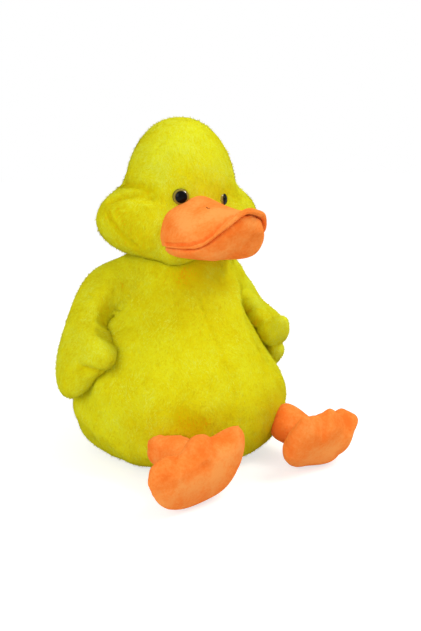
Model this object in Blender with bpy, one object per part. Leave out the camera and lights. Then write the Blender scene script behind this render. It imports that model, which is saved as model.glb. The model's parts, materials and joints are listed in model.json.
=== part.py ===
"""A sitting plush duck: stuffed skins, their fillings, safety eyes and sewn-on limbs.

Metres, +Z up. The duck looks along -Y, its left side is at +X, and the origin
lies in the middle of its flat seat.
"""

import math

import bmesh
import bpy
import numpy as np
from mathutils import Matrix, Vector

# Clearances and fabric
GAP = 0.0003                 # between pieces that touch
PLUSH = 0.004                # long pile fabric of torso, head, wings and tail
VELBOA = 0.0022              # short pile fabric of bill, legs and feet
OVERRUN = 0.004              # a cutter stands this far past what it cuts

# Torso
BELLY_RADIUS = 0.1245
BELLY_HEIGHT = 0.058
SEAT_RADIUS = 0.068
NECK_RADIUS = 0.059
NECK_HEIGHT = 0.203          # middle of the ball that the neck ends in
NECK_OPENING = 0.030         # radius of the hole at the top of the torso skin
NECK_PLAY = 0.0013           # the head's socket needs this room to nod over the neck's facets
TORSO_DEPTH_SHARE = 0.96     # front to back against side to side
# (swell from seat or neck to belly, way up from seat or belly to the next height)
LOWER_TORSO_SHARES = ((0.0, 0.0), (0.33, 0.04), (0.63, 0.18), (0.88, 0.48), (1.0, 1.0))
UPPER_TORSO_SHARES = ((0.96, 0.18), (0.80, 0.34), (0.59, 0.51), (0.38, 0.68), (0.17, 0.86), (0.0, 1.0))

# Neck wad
WAD_THICKNESS = 0.009
WAD_REACH = math.radians(44)

# Head
HEAD_ABOVE_NECK = 0.061
HEAD_HEIGHT = NECK_HEIGHT + HEAD_ABOVE_NECK  # middle of the head
CROWN_RADII = (0.0615, 0.0560, 0.0790)
CROWN_RISE = 0.0270
CROWN_FORWARD = 0.0040
CHEEK_RADII = (0.0570, 0.0500, 0.0385)
CHEEK_SIDE = 0.0395
CHEEK_DROP = 0.0020
NAPE_RADII = (0.0600, 0.0570, 0.0480)
NAPE_DROP = 0.0080
CHIN_RADII = (0.0600, 0.0440, 0.0280)
CHIN_FORWARD = 0.0220
CHIN_DROP = 0.0200
MUZZLE_RADII = (0.0760, 0.0460, 0.0320)
MUZZLE_FORWARD = 0.0200
MUZZLE_DROP = 0.0130
HEAD_BLEND = 14              # higher values leave sharper folds between the lumps

# Eyes
EYE_RADIUS = 0.0084
EYE_BULGE = 0.0056
EYE_BASE = 0.0016
EYE_SINK = 0.0016
EYE_SIDE = 0.0270
EYE_RISES = {"right": 0.0255, "left": 0.0228}  # above the middle of the head
SHANK_RADIUS = 0.0020
SHANK_LENGTH = 0.0120
WASHER_RADIUS = 0.0075
WASHER_THICKNESS = 0.0020
WASHER_SEAT = 0.0009         # the curved skin needs this room behind it

# Bill
BILL_ROOT = 0.030            # start inside the head, forward of the neck's axis
BILL_TIP = 0.129
BILL_HALF_WIDTH = 0.054
CORNER_DROP = 0.0235         # mouth line at its two ends, below the middle of the head
ARCH_RISE = 0.0360           # mouth line at its middle, above its ends
RIDGE_RISE = 0.0140          # top of the upper bill where it leaves the head, above the arch
LOWER_BILL_DEPTH = 0.0170
CORNER_HEIGHT = HEAD_HEIGHT - CORNER_DROP
ARCH_HEIGHT = CORNER_HEIGHT + ARCH_RISE
RIDGE_HEIGHT = ARCH_HEIGHT + RIDGE_RISE
BILL_UNDERSIDE = CORNER_HEIGHT - LOWER_BILL_DEPTH
ARCH_REACH = 0.056           # half the width of the arch, corner to corner
ARCH_FULLNESS = 1.2          # higher values widen the top of the arch
RIDGE_FULLNESS = 2.1         # higher values square the upper bill's root
SADDLE_START = 0.16          # the upper bill thins between these shares of its way
SADDLE_SPAN = 0.66
LIP = 0.0050
LIP_FULLNESS = 0.3
LOWER_BILL_SETBACK = 0.006
THIN_SHARE = 0.3             # a hollow keeps at least this share of a thin edge
UPPER_FILLING_REACH = 0.72   # the thin rim of the upper bill is not stuffed
LOWER_TIP_TAPER = 0.85       # share of its depth that the lower bill loses at the tip
BILL_TWIST = math.radians(-8)  # the tip hangs a little lower on its right
# (half width, way from root to tip)
BILL_PLAN_SHARES = (
    (1.0, 0.0), (0.98, 0.26), (0.94, 0.50), (0.87, 0.70), (0.70, 0.85),
    (0.45, 0.94), (0.22, 0.985), (0.03, 1.0),
)

# Wings: across is forward, along is down the wing
WING_LENGTH = 0.155
WING_WIDTH = 0.092
WING_HALF_ROOT = 0.0235
WING_HALF_TIP = 0.019
WING_SPREADS = {"right": math.radians(27), "left": math.radians(23)}
WING_SWING = math.radians(10)
SHOULDER_OUT = 0.013         # outside the neck
SHOULDER_BACK = 0.019
SHOULDER_RISES = {"right": 0.012, "left": 0.011}  # above the middle of the neck ball
WING_SHARES = (
    (0.00, 0.00), (0.22, 0.06), (0.27, 0.22), (0.26, 0.40), (0.48, 0.53), (0.70, 0.65),
    (0.62, 0.77), (0.38, 0.80), (0.26, 0.92), (0.02, 1.00), (-0.28, 0.96), (-0.46, 0.78),
    (-0.46, 0.50), (-0.40, 0.22), (-0.26, 0.05),
)

# Legs
HIPS = {"right": (-0.0650, -0.078, 0.040), "left": (0.0710, -0.062, 0.044)}
HIP_RADIUS = 0.0215
SHIN_RADIUS = 0.0180

# Feet: across is outward, along is up from heel to toes
FOOT_LENGTH = 0.0760
FOOT_WIDTH = 0.1080
FOOT_HALF = 0.0145
ANKLE_ALONG = 0.034          # middle of the leg, up the foot from its heel
HEELS = {"right": (-0.0630, -0.1450), "left": (0.0808, -0.1298)}
FOOT_LEANS = {"right": math.radians(10), "left": math.radians(27)}
FOOT_TURN = math.radians(7.5)  # both feet look a little to the left
FOOT_SPLAY = math.radians(6)
FLOOR_CLEARANCE = 0.0006
FOOT_SHARES = (
    (0.00, 0.00), (0.26, 0.05), (0.43, 0.24), (0.50, 0.50), (0.49, 0.76), (0.38, 0.87),
    (0.22, 0.85), (0.11, 0.94), (-0.01, 0.99), (-0.13, 0.95), (-0.24, 0.88), (-0.37, 0.95),
    (-0.48, 0.90), (-0.51, 0.66), (-0.44, 0.30), (-0.26, 0.05),
)

# Tail
TAIL_LENGTH = 0.074
TAIL_WIDTH = 0.066
TAIL_HALF = 0.017
TAIL_SINK = 0.0375           # its root lies this deep in the belly
TAIL_HEIGHT = 0.074
TAIL_RISE = math.radians(38)
TAIL_SHARES = (
    (0.0, 0.0), (0.42, 0.10), (0.50, 0.36), (0.36, 0.66), (0.13, 0.93), (0.0, 1.0),
    (-0.13, 0.93), (-0.36, 0.66), (-0.50, 0.36), (-0.42, 0.10),
)

# Pillows
PILLOW_FULLNESS = 0.92       # lower values square the rim
INSET_SPAN = math.radians(7)  # a hollow keeps clear of the notches this far to either side

# Facets
TORSO_SIDES = 32
NECK_RINGS = 3
HEAD_SIDES = 32
HEAD_RINGS = 20
INNER_SIDES = 24
INNER_RINGS = 15
PILLOW_SIDES = 32
PILLOW_RINGS = 5
INNER_PILLOW_SIDES = 24
INNER_PILLOW_RINGS = 4
ROUND_SIDES = 16
SOFT_ANGLE = math.radians(50)  # edges sharper than this are shaded sharp
HARD_ANGLE = math.radians(40)


def material(name, red, green, blue, roughness):
    """A plain Principled finish."""
    made = bpy.data.materials.new(name)
    made.use_nodes = True
    shader = made.node_tree.nodes["Principled BSDF"]
    shader.inputs["Base Color"].default_value = (red, green, blue, 1)
    shader.inputs["Roughness"].default_value = roughness
    shader.inputs["Metallic"].default_value = 0
    return made


def new_object(name, points, faces, finish=None):
    """An object with the given points and faces, its normals turned outward."""
    mesh = bpy.data.meshes.new(name)
    mesh.from_pydata([tuple(point) for point in points], [], faces)
    shape = bmesh.new()
    shape.from_mesh(mesh)
    bmesh.ops.recalc_face_normals(shape, faces=shape.faces)
    shape.to_mesh(mesh)
    shape.free()
    if finish:
        mesh.materials.append(finish)
    made = bpy.data.objects.new(name, mesh)
    bpy.context.scene.collection.objects.link(made)
    return made


def loft(name, rings, finish=None):
    """A closed body through rings of equal count; a ring of one point is a pole."""
    points = []
    starts = []
    for ring in rings:
        starts.append(len(points))
        points.extend(ring)
    faces = []
    for index in range(len(rings) - 1):
        low, high = rings[index], rings[index + 1]
        first, second = starts[index], starts[index + 1]
        sides = max(len(low), len(high))
        for side in range(sides):
            after = (side + 1) % sides
            if len(low) == 1:
                faces.append((first, second + side, second + after))
            elif len(high) == 1:
                faces.append((first + side, first + after, second))
            else:
                faces.append((first + side, first + after, second + after))
                faces.append((first + side, second + after, second + side))
    if len(rings[0]) > 1:
        faces.append(tuple(starts[0] + side for side in range(len(rings[0]))))
    if len(rings[-1]) > 1:
        faces.append(tuple(starts[-1] + side for side in range(len(rings[-1]))))
    return new_object(name, points, faces, finish)


def spline(points, steps, closed=False):
    """Points on a smooth curve through the given points, with this many steps a span."""
    given = [np.array(point, float) for point in points]
    count = len(given)
    spans = count if closed else count - 1
    curve = []
    for span in range(spans):
        if closed:
            before, start, end, after = (given[(span + offset) % count] for offset in (-1, 0, 1, 2))
        else:
            start, end = given[span], given[span + 1]
            before = given[span - 1] if span else 2 * start - end
            after = given[span + 2] if span + 2 < count else 2 * end - start
        for step in range(steps):
            t = step / steps
            curve.append(0.5 * (
                2 * start + (end - before) * t
                + (2 * before - 5 * start + 4 * end - after) * t ** 2
                + (3 * start - before - 3 * end + after) * t ** 3))
    if not closed:
        curve.append(given[-1])
    return curve


def ease(share):
    """A smooth step from 0 to 1."""
    share = min(max(share, 0.0), 1.0)
    return share * share * (3 - 2 * share)


def combine(target, other, operation):
    """Apply one exact Boolean to the target and remove the other object."""
    modifier = target.modifiers.new("combine", "BOOLEAN")
    modifier.operation = operation
    modifier.solver = "EXACT"
    modifier.object = other
    evaluated = target.evaluated_get(bpy.context.evaluated_depsgraph_get())
    result = bpy.data.meshes.new_from_object(evaluated)
    target.modifiers.clear()
    target.data = result
    bpy.data.objects.remove(other)
    return target


def cut(target, *cutters):
    for cutter in cutters:
        combine(target, cutter, "DIFFERENCE")
    return target


def finish_piece(piece, pivot, smooth_angle=SOFT_ANGLE):
    """Put the piece's origin on its joint and shade it smooth."""
    piece.data.transform(Matrix.Translation(-Vector(pivot)))
    piece.location = pivot
    piece.data.shade_smooth()
    piece.data.set_sharp_from_angle(angle=smooth_angle)
    return piece


def turned(name, profile, sides, frame, finish=None):
    """A profile of (radius, height) points turned about the frame's Z axis."""
    rings = []
    for radius, height in profile:
        if radius == 0:
            rings.append([frame @ Vector((0, 0, height))])
            continue
        ring = []
        for side in range(sides):
            angle = math.tau * side / sides
            ring.append(frame @ Vector((radius * math.cos(angle), radius * math.sin(angle), height)))
        rings.append(ring)
    return loft(name, rings, finish)


# Torso form: a turned pear that ends in the ball of the neck


def torso_profile(steps):
    """(radius, height) points from the rim of the seat to the top of the neck ball."""
    lower = [
        (SEAT_RADIUS + swell * (BELLY_RADIUS - SEAT_RADIUS), rise * BELLY_HEIGHT)
        for swell, rise in LOWER_TORSO_SHARES
    ]
    upper = [
        (NECK_RADIUS + swell * (BELLY_RADIUS - NECK_RADIUS),
         BELLY_HEIGHT + rise * (NECK_HEIGHT - BELLY_HEIGHT))
        for swell, rise in UPPER_TORSO_SHARES
    ]
    profile = spline(lower + upper, steps)
    ball_steps = NECK_RINGS * steps
    for step in range(1, ball_steps):
        angle = 0.5 * math.pi * step / ball_steps
        profile.append((NECK_RADIUS * math.cos(angle), NECK_HEIGHT + NECK_RADIUS * math.sin(angle)))
    return profile


def torso_depth(height):
    """Front to back against side to side: flattened at the belly, round at the neck."""
    return 1 - (1 - TORSO_DEPTH_SHARE) * ease((NECK_HEIGHT - height) / (NECK_HEIGHT - BELLY_HEIGHT))


def torso_front(across, height):
    """How far the torso's surface stands forward of its axis at a place."""
    radii, heights = zip(*torso_profile(2))
    radius = float(np.interp(height, heights, radii))
    return torso_depth(height) * math.sqrt(radius ** 2 - across ** 2)


def torso_form(name, grow=0.0, sides=TORSO_SIDES, steps=2, finish=None):
    profile = torso_profile(steps)
    rings = []
    for index, (radius, height) in enumerate(profile):
        before = profile[max(index - 1, 0)]
        after = profile[min(index + 1, len(profile) - 1)]
        run = Vector((after[0] - before[0], after[1] - before[1])).normalized()
        radius += grow * run.y
        height = -grow if index == 0 else height - grow * run.x
        depth = torso_depth(height)
        ring = []
        for side in range(sides):
            angle = math.tau * side / sides
            ring.append((radius * math.sin(angle), -radius * depth * math.cos(angle), height))
        rings.append(ring)
    rings.append([(0, 0, NECK_HEIGHT + NECK_RADIUS + grow)])
    return loft(name, rings, finish)


def ball(name, radius, steps=2):
    """The neck ball as a full sphere, faceted as the torso form is."""
    rings = 2 * NECK_RINGS * steps
    profile = [(0, -radius)]
    for ring in range(1, rings):
        angle = math.pi * ring / rings - 0.5 * math.pi
        profile.append((radius * math.cos(angle), radius * math.sin(angle)))
    profile.append((0, radius))
    return turned(name, profile, TORSO_SIDES, Matrix.Translation((0, 0, NECK_HEIGHT)))


# Head form: crown, nape and two cheeks that swell into each other

HEAD_LUMPS = (
    ((0, -CROWN_FORWARD, CROWN_RISE), CROWN_RADII),
    ((0, 0, -NAPE_DROP), NAPE_RADII),
    ((0, -CHIN_FORWARD, -CHIN_DROP), CHIN_RADII),
    ((0, -MUZZLE_FORWARD, -MUZZLE_DROP), MUZZLE_RADII),
    ((CHEEK_SIDE, 0, -CHEEK_DROP), CHEEK_RADII),
    ((-CHEEK_SIDE, 0, -CHEEK_DROP), CHEEK_RADII),
)


def head_reach(direction):
    """Distance from the head's middle to its surface in a direction."""
    total = 0.0
    for centre, radii in HEAD_LUMPS:
        along = Vector([part / radius for part, radius in zip(direction, radii)])
        offset = Vector([part / radius for part, radius in zip(centre, radii)])
        a = along.dot(along)
        b = along.dot(offset)
        c = offset.dot(offset) - 1
        total += ((b + math.sqrt(b * b - a * c)) / a / CROWN_RADII[0]) ** HEAD_BLEND
    return CROWN_RADII[0] * total ** (1 / HEAD_BLEND)


def head_point(direction, grow=0.0):
    direction = Vector(direction).normalized()
    return Vector((0, 0, HEAD_HEIGHT)) + direction * (head_reach(direction) + grow)


def head_form(name, grow=0.0, sides=HEAD_SIDES, ring_count=HEAD_RINGS, finish=None):
    rings = [[head_point((0, 0, -1), grow)]]
    for ring in range(1, ring_count):
        polar = math.pi * (1 - ring / ring_count)
        points = []
        for side in range(sides):
            angle = math.tau * side / sides
            points.append(head_point(
                (math.sin(polar) * math.sin(angle), -math.sin(polar) * math.cos(angle), math.cos(polar)),
                grow))
        rings.append(points)
    rings.append([head_point((0, 0, 1), grow)])
    return loft(name, rings, finish)


def eye_frame(side, rise):
    """The eye's frame: its Z axis points out of the head, its origin lies on the surface."""
    forward = CROWN_RADII[1]
    for _ in range(12):
        reach = head_reach(Vector((side * EYE_SIDE, -forward, rise)).normalized())
        forward = math.sqrt(reach ** 2 - EYE_SIDE ** 2 - rise ** 2)
    direction = Vector((side * EYE_SIDE, -forward, rise)).normalized()
    across = direction.cross((0, 0, 1)).normalized()
    above = across.cross(direction).normalized()
    nudge = EYE_RADIUS / reach
    run_across = head_point(direction + across * nudge) - head_point(direction - across * nudge)
    run_up = head_point(direction + above * nudge) - head_point(direction - above * nudge)
    outward = run_across.cross(run_up).normalized()
    if outward.dot(direction) < 0:
        outward.negate()
    return Matrix.Translation(head_point(direction)) @ outward.to_track_quat("Z", "Y").to_matrix().to_4x4()


# Pillow form: two sewn faces over an outline, for wings, feet and tail


def pillow_rings(
        shares, width, length, halves, frame, grow=0.0, sides=PILLOW_SIDES, ring_count=PILLOW_RINGS):
    """Outline shares are (across, along); the two halves swell along the frame's Z."""
    half_root, half_tip = halves
    outline = [(across * width, along * length) for across, along in spline(shares, 8, closed=True)]
    middle = (0.0, 0.5 * length)
    angles = [math.atan2(along - middle[1], across - middle[0]) for across, along in outline]
    reaches = [math.hypot(along - middle[1], across - middle[0]) for across, along in outline]
    order = np.argsort(angles)
    sorted_angles = np.array(angles)[order]
    sorted_reaches = np.array(reaches)[order]
    rings = []
    for face in (-1, 1):
        steps = range(0, ring_count + 1) if face < 0 else range(ring_count - 1, -1, -1)
        for step in steps:
            swing = 0.5 * math.pi * step / ring_count
            out_share = math.sin(swing) ** PILLOW_FULLNESS
            rise_share = math.cos(swing) ** PILLOW_FULLNESS
            ring = []
            for side in range(sides):
                angle = math.tau * side / sides - math.pi
                near = (angle,) if grow >= 0 else (angle - INSET_SPAN, angle, angle + INSET_SPAN)
                reach = min(np.interp(near, sorted_angles, sorted_reaches, period=math.tau)) + grow
                across = middle[0] + out_share * reach * math.cos(angle)
                along = middle[1] + out_share * reach * math.sin(angle)
                share = min(max(along / length, 0.0), 1.0)
                half = half_root + (half_tip - half_root) * share + grow
                ring.append(frame @ Vector((across, along, face * half * rise_share)))
            rings.append([ring[0]] if step == 0 else ring)
    return rings


# Tube form: a round limb through a few places


def tube_form(name, places, radii, grow=0.0, sides=ROUND_SIDES, finish=None):
    rings = []
    for index, (place, radius) in enumerate(zip(places, radii)):
        before = places[max(index - 1, 0)]
        after = places[min(index + 1, len(places) - 1)]
        turn = (Vector(after) - Vector(before)).to_track_quat("Z", "Y")
        ring = []
        for side in range(sides):
            angle = math.tau * side / sides
            spoke = Vector((math.cos(angle), math.sin(angle), 0)) * (radius + grow)
            ring.append(Vector(place) + turn @ spoke)
        rings.append(ring)
    return loft(name, rings, finish)


# Bill forms: sections across the bill, from its root in the head to its tip


def mouth_height(across):
    """Height of the mouth line, an arch over the width of the bill."""
    return ARCH_HEIGHT + (CORNER_HEIGHT - ARCH_HEIGHT) * ease((abs(across) / ARCH_REACH) ** ARCH_FULLNESS)


def bill_form(name, upper, grow=0.0, half_sides=12, steps=2, finish=None, reach_out=1.0):
    """One half of the bill; a negative grow makes the hollow, which runs out at the root."""
    tip = BILL_TIP if upper else BILL_TIP - LOWER_BILL_SETBACK
    width = BILL_HALF_WIDTH if upper else BILL_HALF_WIDTH - 0.5 * LOWER_BILL_SETBACK
    thinnest = THIN_SHARE * VELBOA / max(-grow, VELBOA)
    rings = []
    for width_share, way in spline(BILL_PLAN_SHARES, steps):
        if way > reach_out:
            break
        outer_half = width * width_share
        half = max(outer_half + grow, thinnest * outer_half)
        forward = BILL_ROOT + way * (tip - BILL_ROOT + 2 * grow) - (OVERRUN if way == 0 and grow < 0 else 0)
        over, under = [], []
        for step in range(half_sides + 1):
            across = -half * math.cos(math.pi * step / half_sides)
            reach = min(abs(across) / outer_half, 1)
            mouth = mouth_height(min(max(across, -outer_half), outer_half))
            edge = mouth_height(outer_half)
            if upper:
                bow = (1 - reach ** RIDGE_FULLNESS) ** (1 / RIDGE_FULLNESS)
                root = edge + (RIDGE_HEIGHT - edge) * bow
                rim = mouth + LIP * (1 - reach ** 2) ** LIP_FULLNESS
                top = root + (rim - root) * ease((way - SADDLE_START) / SADDLE_SPAN)
                low = mouth
            else:
                bow = math.sqrt(1 - reach ** 2)
                top = mouth - GAP if grow < 0 else mouth + 0.5 * LIP * bow
                low = edge + (BILL_UNDERSIDE - edge) * (1 - LOWER_TIP_TAPER * way ** 4) * bow
            middle = 0.5 * (top + low)
            swell = 0.5 * (top - low)
            swell = max(swell + grow, thinnest * swell)
            if step in (0, half_sides):
                over.append((across, middle))
            else:
                over.append((across, middle + swell))
                under.append((across, middle - swell))
        twist = Matrix.Translation((0, -forward, ARCH_HEIGHT)) @ Matrix.Rotation(BILL_TWIST * way, 4, "Y")
        rings.append([
            twist @ Vector((across, 0, height - ARCH_HEIGHT)) for across, height in over + under[::-1]])
    return loft(name, rings, finish)


def remove_all_objects():
    for stale in list(bpy.data.objects):
        bpy.data.objects.remove(stale)


remove_all_objects()
YELLOW = material("yellow_plush", 0.80, 0.72, 0.03, 0.95)
ORANGE = material("orange_velboa", 0.93, 0.24, 0.03, 0.9)
FIBRE = material("polyester_fibre", 0.85, 0.85, 0.82, 1.0)
BLACK = material("black_eye_plastic", 0.006, 0.005, 0.005, 0.12)
WHITE = material("white_washer_plastic", 0.7, 0.7, 0.68, 0.5)

ORIGIN = (0, 0, 0)
NECK = (0, 0, NECK_HEIGHT)

# Torso, open at the top of the neck

torso_skin = torso_form("torso_skin", finish=YELLOW)
neck_hole = turned(
    "neck_hole", [(NECK_OPENING, 0), (NECK_OPENING, NECK_RADIUS + OVERRUN)],
    ROUND_SIDES, Matrix.Translation(NECK))
cut(torso_skin, torso_form("torso_hollow", -PLUSH, INNER_SIDES, 1), neck_hole)
finish_piece(torso_skin, ORIGIN)
torso_filling = torso_form("torso_filling", -PLUSH - GAP, INNER_SIDES, 1, FIBRE)
finish_piece(torso_filling, ORIGIN)

# Neck wad: a cap of filling that lies on the neck ball, between torso and head


def wad_form(name, inner, outer, reach, finish=None):
    profile = []
    steps = 8
    for step in range(steps + 1):
        angle = reach * step / steps
        profile.append((outer * math.sin(angle), outer * math.cos(angle)))
    for step in range(steps, -1, -1):
        angle = reach * step / steps
        profile.append((inner * math.sin(angle), inner * math.cos(angle)))
    return turned(name, profile, INNER_SIDES, Matrix.Translation(NECK), finish)


neck_filling = wad_form(
    "neck_filling", NECK_RADIUS + GAP, NECK_RADIUS + GAP + WAD_THICKNESS, WAD_REACH, FIBRE)
finish_piece(neck_filling, NECK)

# Head: the skin fits over the neck ball, its filling over the wad

head_skin = head_form("head_skin", finish=YELLOW)
head_filling = head_form("head_filling", -PLUSH - GAP, INNER_SIDES, INNER_RINGS, FIBRE)
eye_frames = {"right": eye_frame(-1, EYE_RISES["right"]), "left": eye_frame(1, EYE_RISES["left"])}
cut(head_skin, head_form("head_hollow", -PLUSH, INNER_SIDES, INNER_RINGS))
cut(head_skin, ball("neck_socket", NECK_RADIUS + NECK_PLAY))
wad_slack = GAP / NECK_RADIUS
cut(head_filling, ball("neck_socket", NECK_RADIUS + NECK_PLAY))
cut(head_filling, wad_form(
    "wad_socket", NECK_RADIUS - OVERRUN, NECK_RADIUS + WAD_THICKNESS + GAP + GAP, WAD_REACH + wad_slack))
washer_front = -(PLUSH + WASHER_SEAT)
for side, frame in eye_frames.items():
    cut(head_skin, turned(
        "eye_seat", [(EYE_RADIUS + GAP, -EYE_SINK - GAP), (EYE_RADIUS + GAP, OVERRUN)],
        ROUND_SIDES, frame))
    cut(head_skin, turned(
        "shank_hole", [(SHANK_RADIUS + GAP, -PLUSH - OVERRUN), (SHANK_RADIUS + GAP, OVERRUN)],
        ROUND_SIDES, frame))
    cut(head_filling, turned(
        "washer_pocket", [
            (WASHER_RADIUS + GAP, washer_front - WASHER_THICKNESS - GAP),
            (WASHER_RADIUS + GAP, OVERRUN)],
        ROUND_SIDES, frame))
    cut(head_filling, turned(
        "shank_hole", [
            (SHANK_RADIUS + GAP, -EYE_SINK - SHANK_LENGTH - GAP),
            (SHANK_RADIUS + GAP, OVERRUN)],
        ROUND_SIDES, frame))
    dome = [(0, -EYE_SINK - SHANK_LENGTH), (SHANK_RADIUS, -EYE_SINK - SHANK_LENGTH)]
    dome += [(SHANK_RADIUS, -EYE_SINK), (EYE_RADIUS, -EYE_SINK), (EYE_RADIUS, -EYE_SINK + EYE_BASE)]
    for step in range(1, 7):
        swing = 0.5 * math.pi * step / 6
        height = -EYE_SINK + EYE_BASE + EYE_BULGE * math.sin(swing)
        dome.append((0 if step == 6 else EYE_RADIUS * math.cos(swing), height))
    eye = turned("eye_" + side, dome, ROUND_SIDES, frame, BLACK)
    finish_piece(eye, frame.translation, HARD_ANGLE)
    washer_back = washer_front - WASHER_THICKNESS
    washer = turned(
        "eye_washer_" + side, [(WASHER_RADIUS, washer_back), (WASHER_RADIUS, washer_front)],
        ROUND_SIDES, frame, WHITE)
    cut(washer, turned(
        "washer_bore", [(SHANK_RADIUS + GAP, washer_back - OVERRUN), (SHANK_RADIUS + GAP, OVERRUN)],
        ROUND_SIDES, frame))
    finish_piece(washer, frame.translation, HARD_ANGLE)
finish_piece(head_skin, NECK)
finish_piece(head_filling, NECK)

# Bill: two stuffed skins sewn to the front of the head, open at their root


def eye_room(frame):
    """Keeps the bill's seam clear of an eye."""
    low, high = -OVERRUN, EYE_BASE + EYE_BULGE + OVERRUN
    return turned("eye_room", [(EYE_RADIUS + GAP, low), (EYE_RADIUS + GAP, high)], ROUND_SIDES, frame)


for half, upper in (("upper", True), ("lower", False)):
    skin = bill_form(half + "_bill_skin", upper, finish=ORANGE)
    reach_out = UPPER_FILLING_REACH if upper else 1.0
    stuffing = bill_form(half + "_bill_filling", upper, -VELBOA - GAP, 10, 1, FIBRE, reach_out)
    cut(skin, bill_form("bill_hollow", upper, -VELBOA, 10, 1))
    for piece in (skin, stuffing):
        if upper:
            cut(piece, *[eye_room(frame) for frame in eye_frames.values()])
        else:
            cut(piece, bill_form("bill_cutter", True, GAP))
        cut(piece, head_form("head_cutter", GAP))
        finish_piece(piece, NECK)

# Wings, feet and tail are pillows; each hangs on an edge of its seam


def pillow_pieces(name, shape, cutters, openings, pivot, fabric, finish):
    """The skin and the filling of one pillow, cut by what they are sewn to."""
    skin = loft(name + "_skin", pillow_rings(*shape), finish)
    cut(skin, loft("pillow_hollow", pillow_rings(*shape, -fabric, INNER_PILLOW_SIDES, INNER_PILLOW_RINGS)))
    stuffing = loft(
        name + "_filling",
        pillow_rings(*shape, -fabric - GAP, INNER_PILLOW_SIDES, INNER_PILLOW_RINGS), FIBRE)
    cut(skin, *[make() for make in cutters + openings])
    cut(stuffing, *[make() for make in cutters])
    finish_piece(skin, pivot)
    finish_piece(stuffing, pivot)


def torso_cutter():
    return torso_form("torso_cutter", GAP)


for side, sign in (("right", -1), ("left", 1)):
    shoulder = (sign * (NECK_RADIUS + SHOULDER_OUT), SHOULDER_BACK, NECK_HEIGHT + SHOULDER_RISES[side])
    spread = Matrix.Rotation(-sign * WING_SPREADS[side], 4, "Y") @ Matrix.Rotation(-WING_SWING, 4, "X")
    flat = Matrix(((0, 0, sign, 0), (-1, 0, 0, 0), (0, -1, 0, 0), (0, 0, 0, 1)))
    wing_shape = (
        WING_SHARES, WING_WIDTH, WING_LENGTH, (WING_HALF_ROOT, WING_HALF_TIP),
        Matrix.Translation(shoulder) @ spread @ flat)
    wing_pivot = (sign * (NECK_RADIUS + GAP), *shoulder[1:])
    pillow_pieces("wing_" + side, wing_shape, [torso_cutter], [], wing_pivot, PLUSH, YELLOW)

    turn = Matrix.Rotation(FOOT_TURN, 4, "Z")
    lean = Matrix.Rotation(FOOT_LEANS[side], 4, "X")
    splay = Matrix.Rotation(sign * FOOT_SPLAY, 4, "Y")
    upright = Matrix(((sign, 0, 0, 0), (0, 0, -1, 0), (0, 1, 0, 0), (0, 0, 0, 1)))
    tilted = turn @ lean @ splay @ upright
    foot_size = (FOOT_SHARES, FOOT_WIDTH, FOOT_LENGTH, (FOOT_HALF, FOOT_HALF))
    lowest = min(point.z for ring in pillow_rings(*foot_size, tilted) for point in ring)
    foot_frame = Matrix.Translation((*HEELS[side], FLOOR_CLEARANCE - lowest)) @ tilted
    foot_shape = (*foot_size, foot_frame)

    hip = HIPS[side]
    ankle = tuple(foot_frame @ Vector((0, ANKLE_ALONG, 0)))
    knee = tuple(0.5 * (start + end) for start, end in zip(hip, ankle))
    places = (hip, knee, ankle)
    radii = (HIP_RADIUS, 0.5 * (HIP_RADIUS + SHIN_RADIUS), SHIN_RADIUS)
    hip_top = hip[2] + HIP_RADIUS
    leg_pivot = (hip[0], -torso_front(hip[0], hip_top) - GAP, hip_top)
    leg = tube_form("leg_" + side + "_skin", places, radii, finish=ORANGE)
    stuffing = tube_form("leg_" + side + "_filling", places, radii, -VELBOA - GAP, finish=FIBRE)
    for piece in (leg, stuffing):
        cut(piece, torso_cutter(), loft("foot_cutter", pillow_rings(*foot_shape, GAP)))
    cut(leg, tube_form("leg_hollow", places, radii, -VELBOA))
    finish_piece(leg, leg_pivot)
    finish_piece(stuffing, leg_pivot)

    def ankle_hole(ends=(ankle, knee), hole_radii=radii[:0:-1]):
        return tube_form("ankle_hole", ends, hole_radii, -VELBOA)

    shin_run = foot_frame.inverted().to_3x3() @ (Vector(knee) - Vector(ankle)).normalized()
    seam_low = ANKLE_ALONG + (FOOT_HALF * shin_run.y - radii[1]) / abs(shin_run.z)
    foot_pivot = tuple(foot_frame @ Vector((0, seam_low, -0.5 * FOOT_HALF)))
    pillow_pieces("foot_" + side, foot_shape, [], [ankle_hole], foot_pivot, VELBOA, ORANGE)

# Tail, low on the back

tail_root = Matrix.Translation((0, BELLY_RADIUS - TAIL_SINK, TAIL_HEIGHT))
tail_frame = tail_root @ Matrix.Rotation(TAIL_RISE, 4, "X")
tail_shape = (TAIL_SHARES, TAIL_WIDTH, TAIL_LENGTH, (TAIL_HALF, TAIL_HALF), tail_frame)
tail_top = TAIL_HEIGHT + TAIL_LENGTH * math.sin(TAIL_RISE)
tail_pivot = (0, torso_front(0, tail_top) + GAP, tail_top)
pillow_pieces("tail", tail_shape, [torso_cutter], [], tail_pivot, PLUSH, YELLOW)
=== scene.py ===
import json
import math

import bmesh
import bpy
import numpy as np
from mathutils import Matrix, Vector
from mathutils.bvhtree import BVHTree


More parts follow.
